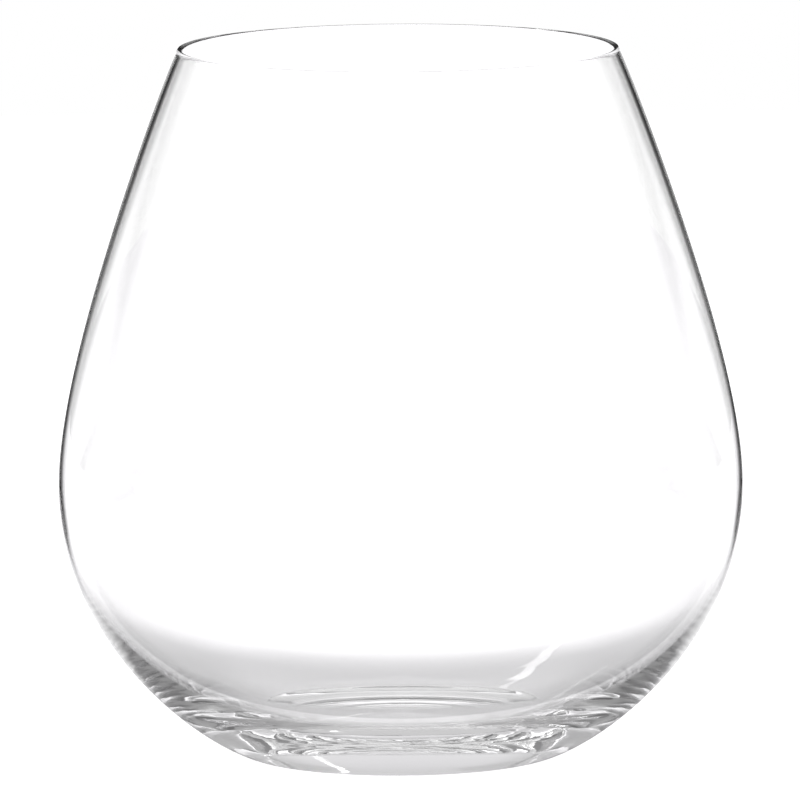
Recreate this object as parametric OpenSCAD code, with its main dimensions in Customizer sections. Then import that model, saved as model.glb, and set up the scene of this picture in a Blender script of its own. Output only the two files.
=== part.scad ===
// Stemless wine glass, blown in one piece from clear glass: a wide round bowl that draws in to the mouth and
// stands on the narrow ring round a slightly hollow foot. The outline is one smooth curve below the widest
// point of the bowl and one above it. The hollow follows the outline at the wall's thickness, which grows
// towards a heel, and from there a curve of its own makes the floor. Millimetres, +Z up, origin on the table at
// the middle of the foot.

/* [Bowl] */
// Width of the bowl at its widest point
bowl_d = 108; // [90:0.5:126]
// Height of the widest point above the table
bowl_z = 43.4; // [39:0.1:48]
// Overall height, from the table to the top of the rim
glass_h = 112.2; // [100:0.1:130]
// How far above the widest point the curve of the wall is drawn upright
shoulder_pull = 19.2; // [14:0.1:26]
// How far below the widest point the curve of the wall is drawn upright
belly_pull = 26.6; // [25:0.1:29]

/* [Mouth] */
// Outer width of the mouth, at the rim
mouth_d = 69.9; // [62:0.1:80]
// How far the wall runs outwards along its first straight lean below the rim
lean_out = 2.7; // [1.5:0.1:4]
// How far the wall runs down along its first straight lean below the rim
lean_down = 6; // [4:0.1:9]
// Thickness of the rolled rim
rim_t = 1.1; // [0.8:0.05:1.6]

/* [Glass] */
// Wall thickness at the widest point of the bowl
wall_t = 0.75; // [0.6:0.05:1.5]

/* [Base] */
// Where the wall ends and the base begins, as a share of the curve from the foot up to the widest point
heel_share = 0.45; // [0.35:0.01:0.55]
// Thickness of the glass at that heel
heel_t = 2.05; // [1.2:0.05:3]
// How late the wall thickens on its way down to the heel, 1 being evenly
thickening_power = 2.3; // [1:0.1:4]
// How far the hollow is drawn straight on below the heel
heel_pull = 8.3; // [5:0.1:11]
// How far out from the middle the floor of the hollow is drawn level
floor_pull = 21; // [14:0.1:24]
// Thickness of the base in its middle
base_t = 1.9; // [1.5:0.1:4]

/* [Foot] */
// Outer width of the flat ring that the glass stands on
foot_d = 46.6; // [43:0.1:50]
// Width of that flat ring
foot_ring_w = 0.5; // [0.4:0.1:3]
// How far the outline runs outwards along its first straight rise from the foot
rise_out = 6.7; // [5:0.1:9]
// How far the outline climbs along its first straight rise from the foot
rise_up = 1.15; // [0.5:0.05:1.6]
// Height of the hollow under the middle of the foot
punt_h = 1; // [0.6:0.1:1.8]

/* [Hidden] */
// Steps of one long curve, of the floor of the hollow, of the rolled rim and of the dome under the foot
curve_steps = 14;
floor_steps = 8;
rim_steps = 6;
punt_steps = 5;
bowl_r = bowl_d / 2;
foot_r = foot_d / 2;
punt_r = foot_r - foot_ring_w;
floor_z = punt_h + base_t;
// The wall leans in at the rim, which is rolled round a ring of its own thickness
rim_r = rim_t / 2;
rim_centre = [mouth_d / 2 - rim_r, glass_h - rim_r];
lean = atan2(lean_out, lean_down);
rim_out = rim_centre + rim_r * [cos(lean), sin(lean)];
rim_in = rim_centre - rim_r * [cos(lean), sin(lean)];
// The dome under the foot is a shallow part of a ball
punt_ball_r = (punt_r * punt_r + punt_h * punt_h) / (2 * punt_h);
punt_half_angle = asin(punt_r / punt_ball_r);
// The step, as a share of the way down to the heel, over which the slope at the heel is taken
slope_share = 0.01;

// A point on the smooth curve from the first of four points to the last, drawn towards the middle two
function curve_point(p, t) =
    pow(1 - t, 3) * p[0] + 3 * pow(1 - t, 2) * t * p[1] + 3 * (1 - t) * t * t * p[2] + t * t * t * p[3];

// The slope of that curve
function curve_slope(p, t) =
    3 * pow(1 - t, 2) * (p[1] - p[0]) + 6 * (1 - t) * t * (p[2] - p[1]) + 3 * t * t * (p[3] - p[2]);

// All the points of that curve but the first, which the stretch before it ends on
function curve_points(p, steps) = [for (i = [1 : steps]) curve_point(p, i / steps)];

// The pulls of the outline from the foot up to the widest point
low_pulls = [[foot_r, 0], [foot_r + rise_out, rise_up], [bowl_r, bowl_z - belly_pull], [bowl_r, bowl_z]];

// A point of the hollow, a share of the way down from the widest point to the heel
function wall_point(share) =
    let (t = 1 - (1 - heel_share) * share, slope = curve_slope(low_pulls, t), along = slope / norm(slope),
        thickness = wall_t + (heel_t - wall_t) * pow(share, thickening_power))
    curve_point(low_pulls, t) + thickness * [-along[1], along[0]];

heel = wall_point(1);
heel_slope = heel - wall_point(1 - slope_share);
heel_down = heel_slope / norm(heel_slope);

// From the middle of the hollow under the foot out to the flat ring
punt_arc = [for (i = [0 : punt_steps])
    let (a = punt_half_angle * i / punt_steps)
    [punt_ball_r * sin(a), punt_h - punt_ball_r * (1 - cos(a))]];

// Up the outside of the glass, round the rim, and down the inside to the middle of the floor
outside_low = curve_points(low_pulls, curve_steps);
outside_high = curve_points([[bowl_r, bowl_z], [bowl_r, bowl_z + shoulder_pull],
    rim_out + [lean_out, -lean_down], rim_out], curve_steps);
rim_arc = [for (i = [1 : rim_steps])
    rim_centre + rim_r * [cos(lean + 180 * i / rim_steps), sin(lean + 180 * i / rim_steps)]];
inside_high = curve_points([rim_in, rim_in + [lean_out, -lean_down],
    [bowl_r - wall_t, bowl_z + shoulder_pull], [bowl_r - wall_t, bowl_z]], curve_steps);
inside_low = [for (i = [1 : curve_steps]) wall_point(i / curve_steps)];
inside_floor = curve_points([heel, heel + heel_pull * heel_down, [floor_pull, floor_z], [0, floor_z]],
    floor_steps);

module glass_bowl() {
    color([0.93, 0.95, 0.95, 0.4])
        rotate_extrude($fn = 144)
            polygon(concat(punt_arc, [[foot_r, 0]], outside_low, outside_high, rim_arc, inside_high,
                inside_low, inside_floor));
}

glass_bowl();
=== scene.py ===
"""Stemless wine glass: the clear blown glass, the table it stands on, the studio round it and the camera."""

import math

import bpy
import bmesh
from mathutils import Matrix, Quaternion, Vector


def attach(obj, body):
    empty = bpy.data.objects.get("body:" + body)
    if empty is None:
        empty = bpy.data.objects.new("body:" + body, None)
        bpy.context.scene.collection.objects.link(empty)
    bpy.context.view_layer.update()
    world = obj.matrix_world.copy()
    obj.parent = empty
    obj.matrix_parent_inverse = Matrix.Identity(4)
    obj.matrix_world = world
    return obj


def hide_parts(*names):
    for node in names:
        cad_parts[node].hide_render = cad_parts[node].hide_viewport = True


bl_info = {
    "name": "Stemless wine glass",
    "version": (1, 0, 0),
    "blender": (4, 5, 0),
    "location": "View3D > Sidebar > Glass",
    "description": "Turns a stemless wine glass from its outline and sets it in a bright studio",
    "category": "Add Mesh",
}

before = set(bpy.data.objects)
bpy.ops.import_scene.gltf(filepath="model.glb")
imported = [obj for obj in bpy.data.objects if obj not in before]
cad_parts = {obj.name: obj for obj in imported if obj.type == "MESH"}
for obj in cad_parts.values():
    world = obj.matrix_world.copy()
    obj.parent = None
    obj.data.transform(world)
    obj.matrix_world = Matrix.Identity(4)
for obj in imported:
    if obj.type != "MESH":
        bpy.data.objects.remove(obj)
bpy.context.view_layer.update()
MM = 0.001
CURVE_STEPS = 64
RIM_STEPS = 16
PUNT_STEPS = 24
# The step, as a share of the way down to the heel, over which the slope at the heel is taken
SLOPE_SHARE = 0.01
# The circle that the outline is turned along, and how close points on the axis are that become one
PATH_R = 10 * MM
JOIN_WITHIN = 0.001 * MM

# Clear crystal, and the faint mould rings low on its outside: waves a metre across them and a radian along
# them, their height, how far the glass faces down where they start, and how high up they end
GLASS_IOR = 1.52
RINGS_ACROSS = 450
RINGS_ALONG = 0.3
RING_HEIGHT = 0.022 * MM
RING_FACING = (0.05, 0.2)
RING_END = (7 * MM, 11 * MM)

# Light is caught in the rim, the wall and the thick base, and leaves them after many turns
BOUNCES = 80
CLIP = (0.1, 100)


def radians(*degrees):
    """Angles in degrees, as radians."""
    return [math.radians(value) for value in degrees]


# What the glass sees of the sky. A pair says where a change starts and where it ends. Rises are from level,
# and turns from straight behind the glass
FOLD = math.radians(45)
LEAN_RISE = radians(-4, 2.5)
LEAN = math.radians(7)
WINDOW_SOFT = math.radians(3)
WINDOW_RISE = radians(-1.5, 1)
PANEL_RISE = radians(2, 6)
PANEL_TOP_SHARE = 0.55
CEILING_TURN = radians(5, 40)
TOP_TURN = radians(37, 74)
TOP_SOFT = math.radians(15)
# The long softbox in three stretches: the turn and rise of both ends and half the width, in degrees
STRIPS = (((-61, 48.5), (-34, 48), 1.3), ((-34, 48), (-18, 40.6), 1.4), ((-18, 40.6), (-8, 28.3), 0.8))
STRIP_CORE_SHARE = 0.7
STRIP_END = (-0.01, 0.002)

# What the glass sees of the table, in metres from its middle
TABLE_SIDES = 128
TABLE_Z = -0.1 * MM
# The grey near the foot is a painted shadow of the glass: how far its edge bends back at the sides, and where
# it fades, along that bent edge and all round
FOOT_SHADOW_BEND = 8.0
FOOT_SHADOW_STRAIGHT = (0.03, 0.078)
FOOT_SHADOW_ROUND = (0.033, 0.14)
# In front, a painted shadow under the foot gives way to the table's bright painted light
FRONT_START = (0.0235, 0.032)
FRONT_START_LIGHT = 0.67
FRONT_TURN = radians(73, 150)
SHADE_TURN, SHADE_TURN_END = radians(45, 70), radians(115, 140)
SHADE_START, SHADE_END = (0.022, 0.034), (0.045, 0.09)
SHADE_START_SHARE = 0.6
# The dark cards, painted into the table's glow, widen outwards between two slants. They deepen in two steps,
# each with its depth
CARD_SLANT, CARD_SLANT_END = radians(3, 6.5), radians(9, 26)
CARD_TURN_END = radians(29, 43)
CARD_DEEPENS = ((0.08, 0.12, 0.75), (0.14, 0.18, 0.25))
CARD_LATER = 0.3
DIAGONAL_X = 0.054
DIAGONAL_SLANT_END = radians(12, 26)
DIAGONAL_START, DIAGONAL_END = (0.08, 0.12), (0.24, 0.34)
DIAGONAL_DEPTH = 0.9


def linear(code):
    """An sRGB hex value, such as F2F4F5, as the linear colour that a shader takes."""
    shares = [int(code[i:i + 2], 16) / 255 for i in (0, 2, 4)]
    return (*(c / 12.92 if c <= 0.04045 else ((c + 0.055) / 1.055) ** 2.4 for c in shares), 1.0)


def add(tree, kind, inputs=None, **settings):
    """A new node, with its settings, and each input either linked or set."""
    node = tree.nodes.new(kind)
    for name, value in settings.items():
        setattr(node, name, value)
    for key, value in (inputs or {}).items():
        if isinstance(value, bpy.types.NodeSocket):
            tree.links.new(value, node.inputs[key])
        else:
            node.inputs[key].default_value = value
    return node


def length(name, description, default):
    """A size that the user may change, in metres."""
    return bpy.props.FloatProperty(name=name, description=description, default=default, unit="LENGTH",
                                   precision=4)


def angle(name, description, degrees):
    """An angle that the user may change, given in degrees and kept in radians."""
    return bpy.props.FloatProperty(name=name, description=description, default=math.radians(degrees),
                                   unit="ROTATION")


def number(name, description, default):
    """A share or power that the user may change, or a level of light, where 1 is white."""
    return bpy.props.FloatProperty(name=name, description=description, default=default)


class GlassSizes(bpy.types.PropertyGroup):
    bowl_d: length("Bowl width", "Width of the bowl at its widest point", 108 * MM)
    bowl_z: length("Bowl height", "Height of the widest point above the table", 43.4 * MM)
    glass_h: length("Overall height", "From the table to the top of the rim", 112.2 * MM)
    shoulder_pull: length("Shoulder pull", "How far the curve is drawn up from the widest point", 19.2 * MM)
    belly_pull: length("Belly pull", "How far the curve is drawn down from the widest point", 26.6 * MM)
    mouth_d: length("Mouth width", "Outer width of the mouth, at the rim", 69.9 * MM)
    lean_out: length("Lean, outwards", "Outward part of the wall's first lean below the rim", 2.7 * MM)
    lean_down: length("Lean, down", "Downward part of the wall's first lean below the rim", 6 * MM)
    rim_t: length("Rim thickness", "Thickness of the rolled rim", 1.1 * MM)
    wall_t: length("Wall thickness", "Wall thickness at the widest point", 0.75 * MM)
    heel_share: number("Heel", "Where the wall ends and the base begins, as a share of the curve up from "
                       "the foot", 0.45)
    heel_t: length("Heel thickness", "Thickness of the glass at that heel", 2.05 * MM)
    thickening_power: number("Thickening power", "How late the wall thickens on its way down to the heel", 2.3)
    heel_pull: length("Heel pull", "How far the hollow is drawn straight on below the heel", 8.3 * MM)
    floor_pull: length("Floor pull", "How far the floor of the hollow is drawn level", 21 * MM)
    base_t: length("Base thickness", "Thickness of the base in its middle", 1.9 * MM)
    foot_d: length("Foot width", "Outer width of the flat ring that the glass stands on", 46.6 * MM)
    foot_ring_w: length("Foot ring", "Width of that flat ring", 0.5 * MM)
    rise_out: length("Rise, outwards", "Outward part of the outline's first rise from the foot", 6.7 * MM)
    rise_up: length("Rise, up", "Upward part of the outline's first rise from the foot", 1.15 * MM)
    punt_h: length("Hollow under the foot", "Its height in the middle", 1 * MM)
    turn_steps: bpy.props.IntProperty(name="Turn steps", description="Faces round the glass", default=256)


class StudioSettings(bpy.types.PropertyGroup):
    table_r: length("Table radius", "How far the white table reaches", 0.9)
    distance: length("Camera distance", "Level distance from the glass to the camera", 3.0)
    aim_z: length("Aim height", "Height of the point that the camera faces", 0.055)
    view_w: length("View width", "Width of the picture at the glass", 0.126)
    rise_share: number("Camera rise", "Camera height above the rim, as a share of its distance", 0.11)
    roll: angle("Roll", "How far the camera leans", 0.38)
    shift_x: number("Shift across", "Shift of the picture across, as a share of its width", -0.0004)
    shift_y: number("Shift up", "Shift of the picture up, as a share of its width", 0.0106)
    window_half: angle("Window", "Half the width of the bright window behind the glass", 7)
    gap_end: angle("Gap", "Where the dark gap beside that window ends", 12.5)
    panel_start: angle("Panel edge", "Where the white panel beyond the gap begins", 20)
    panel_full: angle("Panel", "Where that panel is fully bright", 28)
    belt_top: angle("Belt", "How far up the window and the panels reach", 5)
    ceiling_start: angle("Ceiling", "Where the plain ceiling begins", 16)
    top_start: angle("Top light start", "How high the lit part of the ceiling begins", 50)
    # The dark cards are painted into the table's glow
    card_x: length("Card", "How far aside the dark cards on the table lie", 0.079)
    dark: number("Dark", "What the glass sees in the gaps", 0.01)
    window_light: number("Window light", "What the glass sees in the window", 1.4)
    edge_light: number("Edge light", "What the glass sees at the edge of a panel", 0.59)
    panel_light: number("Panel light", "What the glass sees in a panel", 0.86)
    ceiling_light: number("Ceiling light", "What the glass sees of the ceiling behind it", 0.52)
    side_light: number("Side light", "What the glass sees of the ceiling elsewhere", 0.22)
    top_light: number("Top light", "What the glass sees in the lit part of the ceiling", 1.45)
    # The table's glow near the foot is a painted shadow of the glass
    foot_shadow_light: number("Near light", "What the glass sees of the table beside its foot", 0.58)
    behind_light: number("Light behind", "What the glass sees of the table behind it", 1.3)
    front_light: number("Front light", "What the glass sees of the table in front of it", 1.75)
    side_shade: number("Side shade", "How much its own sides shade the table beside its foot", 0.32)
    lamp: number("Lamp", "What the glass sees of the long softbox", 4.0)
    room: number("Room", "The light that falls on the table", 1.0)
    shadow_depth: number("Shadow", "How much the object's shadow darkens the table at most", 0.08)


def curve_point(p, t):
    """A point on the smooth curve from the first of four points to the last, drawn towards the middle two."""
    a, b, c, d = (Vector(q) for q in p)
    return a * (1 - t) ** 3 + 3 * b * (1 - t) ** 2 * t + 3 * c * (1 - t) * t * t + d * t ** 3


def curve_slope(p, t):
    """The slope of that curve."""
    a, b, c, d = (Vector(q) for q in p)
    return 3 * (b - a) * (1 - t) ** 2 + 6 * (c - b) * (1 - t) * t + 3 * (d - c) * t * t


def curve_points(p, steps):
    """All the points of that curve but the first, which the stretch before it ends on."""
    return [curve_point(p, i / steps) for i in range(1, steps + 1)]


def wall_point(s, pulls, share):
    """A point of the hollow, a share of the way down from the widest point to the heel."""
    t = 1 - (1 - s.heel_share) * share
    along = curve_slope(pulls, t).normalized()
    thickness = s.wall_t + (s.heel_t - s.wall_t) * share ** s.thickening_power
    return curve_point(pulls, t) + thickness * Vector((-along.y, along.x))


def outline(s):
    """Half the section of the glass, from the middle of the foot, up the outside and down the inside."""
    bowl_r, foot_r, rim_r = s.bowl_d / 2, s.foot_d / 2, s.rim_t / 2
    punt_r, floor_z = foot_r - s.foot_ring_w, s.punt_h + s.base_t
    ball_r = (punt_r ** 2 + s.punt_h ** 2) / (2 * s.punt_h)
    half_angle = math.asin(punt_r / ball_r)
    centre = Vector((s.mouth_d / 2 - rim_r, s.glass_h - rim_r))
    lean = math.atan2(s.lean_out, s.lean_down)
    across = Vector((math.cos(lean), math.sin(lean))) * rim_r
    first_lean = Vector((s.lean_out, -s.lean_down))
    angles = [half_angle * i / PUNT_STEPS for i in range(PUNT_STEPS + 1)]
    points = [Vector((ball_r * math.sin(a), s.punt_h - ball_r * (1 - math.cos(a)))) for a in angles]
    points.append(Vector((foot_r, 0)))
    low_pulls = [(foot_r, 0), (foot_r + s.rise_out, s.rise_up), (bowl_r, s.bowl_z - s.belly_pull),
                 (bowl_r, s.bowl_z)]
    points += curve_points(low_pulls, CURVE_STEPS)
    points += curve_points([(bowl_r, s.bowl_z), (bowl_r, s.bowl_z + s.shoulder_pull),
                            centre + across + first_lean, centre + across], CURVE_STEPS)
    angles = [lean + math.pi * i / RIM_STEPS for i in range(1, RIM_STEPS + 1)]
    points += [centre + Vector((math.cos(a), math.sin(a))) * rim_r for a in angles]
    points += curve_points([centre - across, centre - across + first_lean,
                            (bowl_r - s.wall_t, s.bowl_z + s.shoulder_pull), (bowl_r - s.wall_t, s.bowl_z)],
                           CURVE_STEPS)
    points += [wall_point(s, low_pulls, i / CURVE_STEPS) for i in range(1, CURVE_STEPS + 1)]
    heel = wall_point(s, low_pulls, 1)
    heel_down = (heel - wall_point(s, low_pulls, 1 - SLOPE_SHARE)).normalized()
    points += curve_points([heel, heel + s.heel_pull * heel_down, (s.floor_pull, floor_z), (0, floor_z)],
                           CURVE_STEPS)
    return points


def turning_tree():
    """Geometry nodes that turn an outline, drawn in the XZ plane, once round the Z axis."""
    tree = bpy.data.node_groups.new("turned_glass", "GeometryNodeTree")
    for name, kind in (("Geometry", "Geometry"), ("Turn steps", "Int"), ("Path radius", "Float"),
                       ("Glass", "Material")):
        tree.interface.new_socket(name, in_out="INPUT", socket_type="NodeSocket" + kind)
    tree.interface.new_socket("Geometry", in_out="OUTPUT", socket_type="NodeSocketGeometry")
    given = add(tree, "NodeGroupInput").outputs
    line = add(tree, "GeometryNodeMeshToCurve", {"Mesh": given["Geometry"]}).outputs["Curve"]
    inwards = add(tree, "ShaderNodeMath", {0: 0.0, 1: given["Path radius"]}, operation="SUBTRACT").outputs[0]
    shift = add(tree, "ShaderNodeCombineXYZ", {"X": inwards}).outputs[0]
    laid = add(tree, "GeometryNodeTransform", {"Geometry": line, "Rotation": (math.pi / 2, 0, 0)})
    laid = add(tree, "GeometryNodeTransform", {"Geometry": laid.outputs[0], "Translation": shift})
    path = add(tree, "GeometryNodeCurvePrimitiveCircle",
               {"Resolution": given["Turn steps"], "Radius": given["Path radius"]}).outputs["Curve"]
    turned = add(tree, "GeometryNodeCurveToMesh", {"Curve": path, "Profile Curve": laid.outputs[0]})
    closed = add(tree, "GeometryNodeMergeByDistance", {"Geometry": turned.outputs[0], "Distance": JOIN_WITHIN})
    smooth = add(tree, "GeometryNodeSetShadeSmooth", {"Geometry": closed.outputs[0]})
    real = add(tree, "GeometryNodeRealizeInstances", {"Geometry": smooth.outputs[0]})
    dressed = add(tree, "GeometryNodeSetMaterial", {"Geometry": real.outputs[0], "Material": given["Glass"]})
    add(tree, "NodeGroupOutput", {"Geometry": dressed.outputs[0]})
    return tree


def socket_key(tree, name):
    """The identifier by which a modifier sets the tree's input of that name."""
    return next(s.identifier for s in tree.interface.items_tree if s.name == name and s.in_out == "INPUT")


def bare_tree(owner):
    """The node tree of a new material or world, emptied."""
    owner.use_nodes = True
    owner.node_tree.nodes.clear()
    return owner.node_tree


def combined(tree, first, second, operation="MULTIPLY"):
    """Nodes that put two values together."""
    return add(tree, "ShaderNodeMath", {0: first, 1: second}, operation=operation).outputs[0]


def positive(tree, value):
    """Nodes that take the sign off a value."""
    return add(tree, "ShaderNodeMath", {0: value}, operation="ABSOLUTE").outputs[0]


def fade(tree, value, low, high, start=0.0, end=1.0):
    """Nodes that pass smoothly from the start level at the low value to the end level at the high one."""
    return add(tree, "ShaderNodeMapRange", {"Value": value, "From Min": low, "From Max": high, "To Min": start,
                                            "To Max": end}, interpolation_type="SMOOTHSTEP").outputs[0]


def mixed(tree, share, first, second):
    """Nodes that pass from the first value to the second as the share rises to 1."""
    return add(tree, "ShaderNodeMix", {"Factor": share, "A": first, "B": second}, data_type="FLOAT").outputs[0]


def clear_crystal():
    """Clear crystal glass, blown in a mould and fire polished, with faint mould rings low on its outside."""
    material = bpy.data.materials.new("clear_crystal_glass")
    tree = bare_tree(material)
    place = add(tree, "ShaderNodeTexCoord").outputs["Object"]
    part = add(tree, "ShaderNodeSeparateXYZ", {"Vector": place}).outputs
    turned = combined(tree, part["X"], part["Y"], "ARCTAN2")
    level_place = add(tree, "ShaderNodeCombineXYZ", {"X": part["X"], "Y": part["Y"]}).outputs[0]
    radius = add(tree, "ShaderNodeVectorMath", {0: level_place}, operation="LENGTH").outputs[1]
    # Rings about two millimetres apart that come and go round the glass
    rings = add(tree, "ShaderNodeCombineXYZ", {
        "X": combined(tree, radius, RINGS_ACROSS), "Y": combined(tree, part["Z"], RINGS_ACROSS),
        "Z": combined(tree, turned, RINGS_ALONG)})
    waves = add(tree, "ShaderNodeTexNoise", {"Vector": rings.outputs[0], "Scale": 1.0, "Detail": 1.0,
                                             "Roughness": 0.5}).outputs[0]
    faces = add(tree, "ShaderNodeNewGeometry").outputs
    downward = add(tree, "ShaderNodeSeparateXYZ", {"Vector": faces["Normal"]}).outputs["Z"]
    downward = combined(tree, downward, fade(tree, faces["Backfacing"], 0, 1, -1, 1))
    outside = combined(tree, fade(tree, downward, *RING_FACING), fade(tree, part["Z"], *RING_END, 1, 0))
    bump = add(tree, "ShaderNodeBump", {"Height": combined(tree, waves, outside), "Strength": 1.0,
                                        "Distance": RING_HEIGHT}).outputs[0]
    shader = add(tree, "ShaderNodeBsdfPrincipled", {
        "Base Color": linear("FFFFFF"), "Roughness": 0.0, "IOR": GLASS_IOR, "Transmission Weight": 1.0,
        "Normal": bump})
    add(tree, "ShaderNodeOutputMaterial", {"Surface": shader.outputs[0]})
    return material


def ray_kinds(tree):
    """1 for a ray that the glass has reflected or let through, and 1 for one straight from the camera."""
    path = add(tree, "ShaderNodeLightPath").outputs
    through = combined(tree, path["Is Glossy Ray"], path["Is Transmission Ray"], "MAXIMUM")
    return through, path["Is Camera Ray"]


def softbox(tree, direction, start, end, half_width):
    """One stretch of the long narrow softbox, seen from the glass as the sky between two directions."""
    a, b = (Vector((math.sin(turn) * math.cos(rise), math.cos(turn) * math.cos(rise), math.sin(rise)))
            for turn, rise in (radians(*start), radians(*end)))
    across, middle = a.cross(b).normalized(), (a + b).normalized()
    off, along = (add(tree, "ShaderNodeVectorMath", {0: direction, 1: tuple(axis)}, operation="DOT_PRODUCT")
                  for axis in (across, middle))
    edge, reach = math.sin(math.radians(half_width)), a.dot(middle)
    thin = fade(tree, positive(tree, off.outputs[1]), edge * STRIP_CORE_SHARE, edge, 1, 0)
    return combined(tree, thin, fade(tree, along.outputs[1], *(reach + step for step in STRIP_END)))


def sky_light(tree, direction, s):
    """What the glass sees of the sky: a belt of windows, gaps and panels, a ceiling and the softbox."""
    part = add(tree, "ShaderNodeSeparateXYZ", {"Vector": direction}).outputs
    azimuth = combined(tree, part["X"], part["Y"], "ARCTAN2")
    rise = combined(tree, part["Z"], 0.0, "ARCSINE")
    # The belt repeats at each quarter turn, so the glass looks alike from all four sides
    folded = combined(tree, azimuth, FOLD, "PINGPONG")
    folded = combined(tree, folded, fade(tree, rise, *LEAN_RISE, 0, LEAN), "SUBTRACT")
    window = combined(tree, fade(tree, folded, s.window_half, s.window_half + WINDOW_SOFT, 1, 0),
                      fade(tree, rise, *WINDOW_RISE, s.window_light, 0))
    panels = combined(tree, fade(tree, folded, s.gap_end, s.panel_start),
                      fade(tree, folded, s.panel_start, s.panel_full, s.edge_light, s.panel_light))
    panels = combined(tree, panels, fade(tree, rise, *PANEL_RISE, 1, PANEL_TOP_SHARE))
    belt = combined(tree, combined(tree, window, panels, "MAXIMUM"), s.dark, "MAXIMUM")
    turned = positive(tree, azimuth)
    top = combined(tree, fade(tree, turned, *TOP_TURN, 1, 0),
                   fade(tree, rise, s.top_start, s.top_start + TOP_SOFT, 0, s.top_light))
    ceiling = combined(tree, fade(tree, turned, *CEILING_TURN, s.ceiling_light, s.side_light), top, "MAXIMUM")
    seen = mixed(tree, fade(tree, rise, s.belt_top, s.ceiling_start), belt, ceiling)
    for strip in STRIPS:
        seen = mixed(tree, softbox(tree, direction, *strip), seen, s.lamp)
    return seen


def card(tree, aside, outwards, slant_end):
    """1 on a dark card painted on the table's glow, lying outwards from its inner edge up to a slant."""
    slant = combined(tree, aside, outwards, "ARCTAN2")
    return combined(tree, fade(tree, slant, *CARD_SLANT), fade(tree, slant, *slant_end, 1, 0))


def painted_card_share(tree, part, card_x):
    """How much the dark cards painted on the table's glow darken it."""
    # Each runs outwards from beside the glass, and they repeat at each quarter turn
    across, along = (positive(tree, part[axis]) for axis in "XY")
    lesser, outwards = (combined(tree, across, along, kind) for kind in ("MINIMUM", "MAXIMUM"))
    quarter = card(tree, combined(tree, lesser, card_x, "SUBTRACT"), outwards, CARD_SLANT_END)
    slight_turn = combined(tree, lesser, outwards, "ARCTAN2")
    quarter = combined(tree, quarter, fade(tree, slight_turn, *CARD_TURN_END, 1, 0))
    # Those beside and in front of the glass begin further out
    later = combined(tree, combined(tree, across, part["Y"], "GREATER_THAN"), CARD_LATER)
    begun = combined(tree, outwards, later, "SUBTRACT")
    first, second = (fade(tree, begun, low, high, 0, depth) for low, high, depth in CARD_DEEPENS)
    quarter = combined(tree, quarter, combined(tree, first, second, "ADD"))
    # Two more lie along one diagonal, in front of the glass and to its right, and end sooner
    ahead = combined(tree, combined(tree, part["X"], part["Y"], "SUBTRACT"), math.sqrt(0.5))
    aside = combined(tree, positive(tree, combined(tree, part["X"], part["Y"], "ADD")), math.sqrt(0.5))
    diagonal = card(tree, combined(tree, aside, DIAGONAL_X, "SUBTRACT"), ahead, DIAGONAL_SLANT_END)
    depth = combined(tree, fade(tree, ahead, *DIAGONAL_START, 0, DIAGONAL_DEPTH),
                     fade(tree, ahead, *DIAGONAL_END, 1, 0))
    return combined(tree, quarter, combined(tree, diagonal, depth), "MAXIMUM")


def table_light(tree, place, s):
    """What the glass sees of the table: grey near its foot, where a shadow of the glass is painted, bright
    further off, and dark cards painted lying on it.
    """
    part = add(tree, "ShaderNodeSeparateXYZ", {"Vector": place}).outputs
    away = add(tree, "ShaderNodeVectorMath", {0: place}, operation="LENGTH").outputs[1]
    turned = positive(tree, combined(tree, part["X"], part["Y"], "ARCTAN2"))
    # A painted shadow of the glass lies grey behind its foot and fades out to the bright table
    bend = combined(tree, combined(tree, part["X"], part["X"]), FOOT_SHADOW_BEND)
    bent_y = combined(tree, part["Y"], bend, "SUBTRACT")
    straight, rounded = (fade(tree, value, *ends, s.foot_shadow_light, s.behind_light)
                         for value, ends in ((bent_y, FOOT_SHADOW_STRAIGHT), (away, FOOT_SHADOW_ROUND)))
    behind = combined(tree, straight, rounded, "MAXIMUM")
    front = fade(tree, away, *FRONT_START, FRONT_START_LIGHT, s.front_light)
    seen = mixed(tree, fade(tree, turned, *FRONT_TURN), behind, front)
    beside = combined(tree, fade(tree, turned, *SHADE_TURN),
                      fade(tree, turned, *SHADE_TURN_END, s.side_shade, 0))
    shade = combined(tree, fade(tree, away, *SHADE_START, SHADE_START_SHARE, 1),
                     fade(tree, away, *SHADE_END, 1, 0))
    for darker in (combined(tree, beside, shade), painted_card_share(tree, part, s.card_x)):
        seen = combined(tree, seen, combined(tree, 1.0, darker, "SUBTRACT"))
    return combined(tree, seen, s.dark, "MAXIMUM")


class GLASS_OT_blow(bpy.types.Operator):
    """Turn the glass from its outline, as one closed piece"""
    bl_idname = "wineglass.blow"
    bl_label = "Blow the glass"

    def execute(self, context):
        sizes = context.scene.glass_sizes
        points = [(p.x, 0, p.y) for p in outline(sizes)]
        mesh = bpy.data.meshes.new("outline")
        mesh.from_pydata(points, [(i, i + 1) for i in range(len(points) - 1)], [])
        drawn = bpy.data.objects.new("outline", mesh)
        context.collection.objects.link(drawn)
        tree = turning_tree()
        turn = drawn.modifiers.new("turn", "NODES")
        turn.node_group = tree
        material = clear_crystal()
        for name, value in (("Turn steps", sizes.turn_steps), ("Path radius", PATH_R), ("Glass", material)):
            turn[socket_key(tree, name)] = value
        seen = drawn.evaluated_get(context.evaluated_depsgraph_get())
        glass_mesh = bpy.data.meshes.new_from_object(seen)
        bpy.data.objects.remove(drawn)
        shape = bmesh.new()
        shape.from_mesh(glass_mesh)
        bmesh.ops.recalc_face_normals(shape, faces=shape.faces)
        shape.to_mesh(glass_mesh)
        shape.free()
        glass = bpy.data.objects.new("blown_glass", glass_mesh)
        context.collection.objects.link(glass)
        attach(glass, "root")
        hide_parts("glass_bowl")
        return {"FINISHED"}


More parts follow.
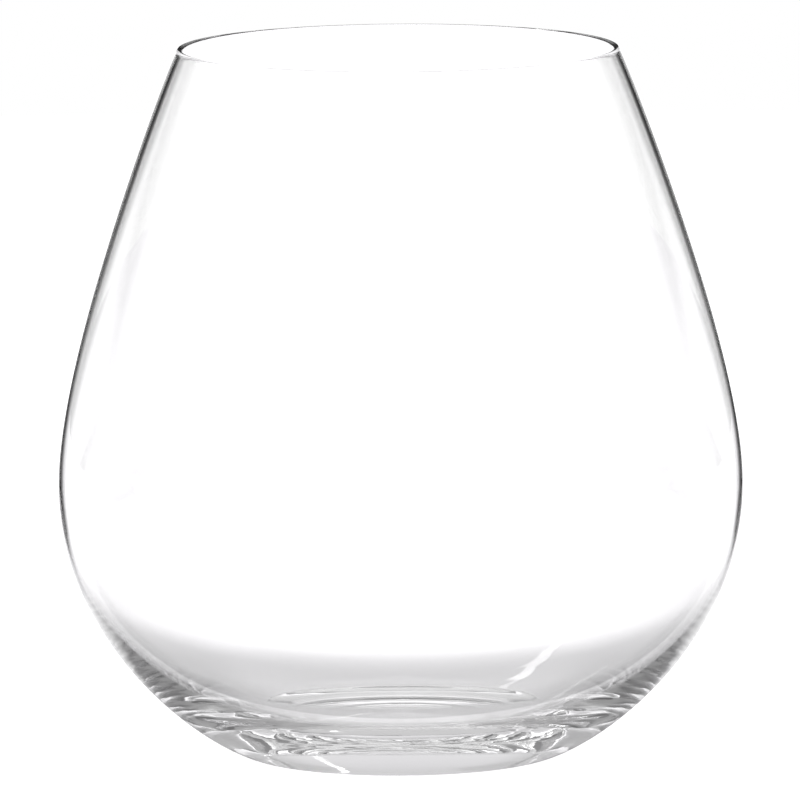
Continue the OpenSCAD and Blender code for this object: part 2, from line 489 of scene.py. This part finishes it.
class GLASS_OT_studio(bpy.types.Operator):
    """Set the table, the light and the camera"""
    bl_idname = "wineglass.studio"
    bl_label = "Set the studio"

    def execute(self, context):
        scene, s = context.scene, context.scene.studio_settings
        scene.view_settings.view_transform = "Standard"
        for kind in ("max", "transmission", "glossy"):
            setattr(scene.cycles, kind + "_bounces", BOUNCES)
        self.sky(scene, s)
        self.table(context, s)
        self.camera(context, s)
        return {"FINISHED"}

    def sky(self, scene, s):
        """The room: white behind everything, and what the glass sees of it."""
        scene.world = bpy.data.worlds.new("bright_studio")
        tree = bare_tree(scene.world)
        direction = add(tree, "ShaderNodeTexCoord").outputs["Generated"]
        through, from_camera = ray_kinds(tree)
        strength = mixed(tree, from_camera, mixed(tree, through, s.room, sky_light(tree, direction, s)), 1.0)
        light = add(tree, "ShaderNodeBackground", {"Color": linear("FFFFFF"), "Strength": strength})
        add(tree, "ShaderNodeOutputWorld", {"Surface": light.outputs[0]})

    def table(self, context, s):
        """A white table that takes a faint shadow, and what the glass sees of it."""
        top = bpy.data.meshes.new("table")
        turns = [i * math.tau / TABLE_SIDES for i in range(TABLE_SIDES)]
        rim = [(math.cos(a) * s.table_r, math.sin(a) * s.table_r, TABLE_Z) for a in turns]
        top.from_pydata(rim, [], [list(range(TABLE_SIDES))])
        table = bpy.data.objects.new("table", top)
        context.collection.objects.link(table)
        material = bpy.data.materials.new("white_table")
        top.materials.append(material)
        tree = bare_tree(material)
        place = add(tree, "ShaderNodeTexCoord").outputs["Object"]
        through, from_camera = ray_kinds(tree)
        paint = add(tree, "ShaderNodeBsdfDiffuse", {"Color": linear("F2F2F2")}).outputs[0]
        white = add(tree, "ShaderNodeEmission", {"Strength": 1.0 - s.shadow_depth}).outputs[0]
        bare = add(tree, "ShaderNodeAddShader", {0: paint, 1: white}).outputs[0]
        shown = add(tree, "ShaderNodeMixShader", {0: from_camera, 1: paint, 2: bare}).outputs[0]
        # For rays the glass reflects or lets through, the table glows with painted light and shade: a painted
        # shadow of the glass, painted shade beside its foot, painted dark cards and bright painted light
        # further off
        seen = table_light(tree, place, s)
        glow = add(tree, "ShaderNodeEmission", {"Color": linear("FDFCFE"), "Strength": seen})
        shown = add(tree, "ShaderNodeMixShader", {0: through, 1: shown, 2: glow.outputs[0]}).outputs[0]
        add(tree, "ShaderNodeOutputMaterial", {"Surface": shown})

    def camera(self, context, s):
        """The camera in front of the glass and a little above its rim, with the photo's slight lean."""
        data = bpy.data.cameras.new("camera")
        camera = bpy.data.objects.new("camera", data)
        context.collection.objects.link(camera)
        camera.location = (0, -s.distance, context.scene.glass_sizes.glass_h + s.distance * s.rise_share)
        gaze = Vector((0, 0, s.aim_z)) - camera.location
        turn = gaze.to_track_quat("-Z", "Y")
        turn.rotate(Quaternion(gaze, s.roll))
        camera.rotation_mode = "QUATERNION"
        camera.rotation_quaternion = turn
        data.lens = data.sensor_width * gaze.length / s.view_w
        data.shift_x, data.shift_y = s.shift_x, s.shift_y
        data.clip_start, data.clip_end = CLIP
        context.scene.camera = camera


class GLASS_PT_panel(bpy.types.Panel):
    bl_idname = "GLASS_PT_panel"
    bl_label = "Stemless wine glass"
    bl_space_type = "VIEW_3D"
    bl_region_type = "UI"
    bl_category = "Glass"

    def draw(self, context):
        scene = context.scene
        for kind in OPERATORS:
            self.layout.operator(kind.bl_idname)
        for group in (scene.glass_sizes, scene.studio_settings):
            box = self.layout.box()
            for name in group.__annotations__:
                box.prop(group, name)


OPERATORS = (GLASS_OT_blow, GLASS_OT_studio)
CLASSES = (GlassSizes, StudioSettings, *OPERATORS, GLASS_PT_panel)


def register():
    for kind in CLASSES:
        bpy.utils.register_class(kind)
    bpy.types.Scene.glass_sizes = bpy.props.PointerProperty(type=GlassSizes)
    bpy.types.Scene.studio_settings = bpy.props.PointerProperty(type=StudioSettings)


def unregister():
    del bpy.types.Scene.studio_settings
    del bpy.types.Scene.glass_sizes
    for kind in reversed(CLASSES):
        bpy.utils.unregister_class(kind)


def main():
    register()
    bpy.ops.wineglass.blow()
    bpy.ops.wineglass.studio()


if __name__ == "__main__":
    main()
